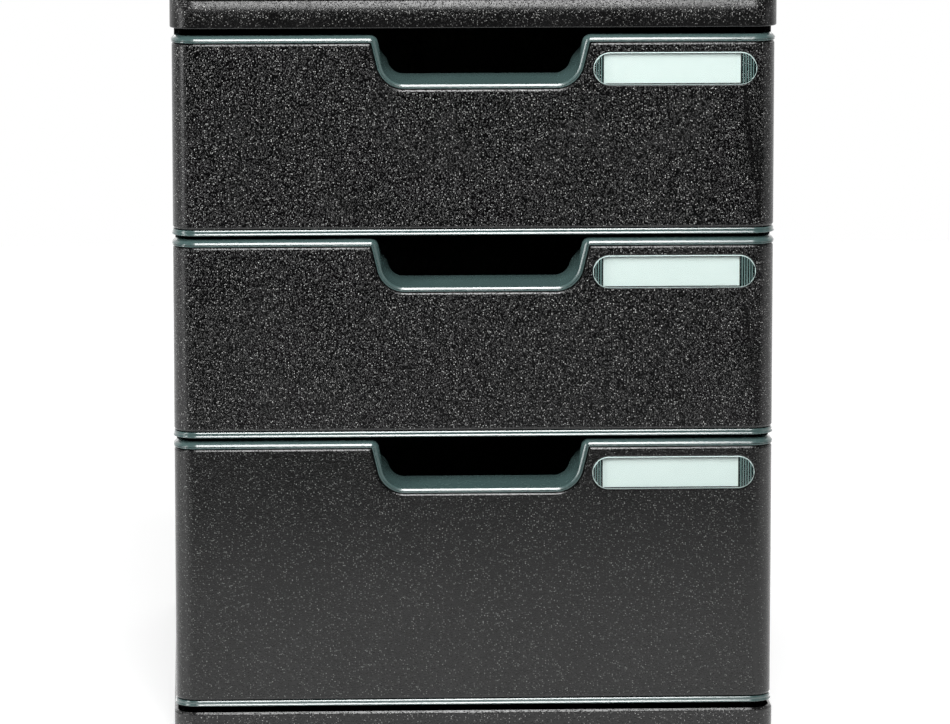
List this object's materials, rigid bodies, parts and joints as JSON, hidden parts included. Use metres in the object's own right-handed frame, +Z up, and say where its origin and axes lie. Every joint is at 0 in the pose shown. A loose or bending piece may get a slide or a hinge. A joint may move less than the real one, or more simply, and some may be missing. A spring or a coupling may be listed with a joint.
{
  "type": "letter tray stack with drawers",
  "caption": "Closed desktop drawer unit for A4 paper, with shallow drawers over a deep one, a scooped finger cutout and a label window in each front.",
  "frame": {"origin": "centre of the footprint, on the surface that the feet stand on", "axes": "+Z up; the drawer fronts face -Y and the drawers pull out along -Y; +X to the right seen from the front"},
  "size_m": [0.289, 0.35, 0.3622],
  "materials": {
    "housing": "fine leather grain, satin black",
    "rail": "smooth satin black",
    "feet": "matt black rubber",
    "screws": "zinc plated",
    "tray": "semi-gloss slate green",
    "fascia": "fine leather grain, satin black",
    "window": "clear, polished",
    "card": "pale card"
  },
  "bodies": {
    "housing": {"top_cover": "housing", "base_plinth": "housing", "left_side_panel": "housing", "right_side_panel": "housing", "back_panel": "housing", "upper_cross_rail": "rail", "lower_cross_rail": "rail", "foot_front_left": "feet", "foot_front_right": "feet", "foot_back_left": "feet", "foot_back_right": "feet", "base_screws": "screws"},
    "upper_drawer": {"upper_drawer_tray": "tray", "upper_drawer_fascia": "fascia", "upper_label_window": "window", "upper_label_card": "card"},
    "middle_drawer": {"middle_drawer_tray": "tray", "middle_drawer_fascia": "fascia", "middle_label_window": "window", "middle_label_card": "card"},
    "lower_drawer": {"lower_drawer_tray": "tray", "lower_drawer_fascia": "fascia", "lower_label_window": "window", "lower_label_card": "card"}
  },
  "joints": [
    {"name": "upper_drawer_slide", "type": "slide", "parent": "housing", "child": "upper_drawer", "axis": [0, -1, 0], "range_m": [0, 0.266]},
    {"name": "middle_drawer_slide", "type": "slide", "parent": "housing", "child": "middle_drawer", "axis": [0, -1, 0], "range_m": [0, 0.266]},
    {"name": "lower_drawer_slide", "type": "slide", "parent": "housing", "child": "lower_drawer", "axis": [0, -1, 0], "range_m": [0, 0.266]}
  ]
}
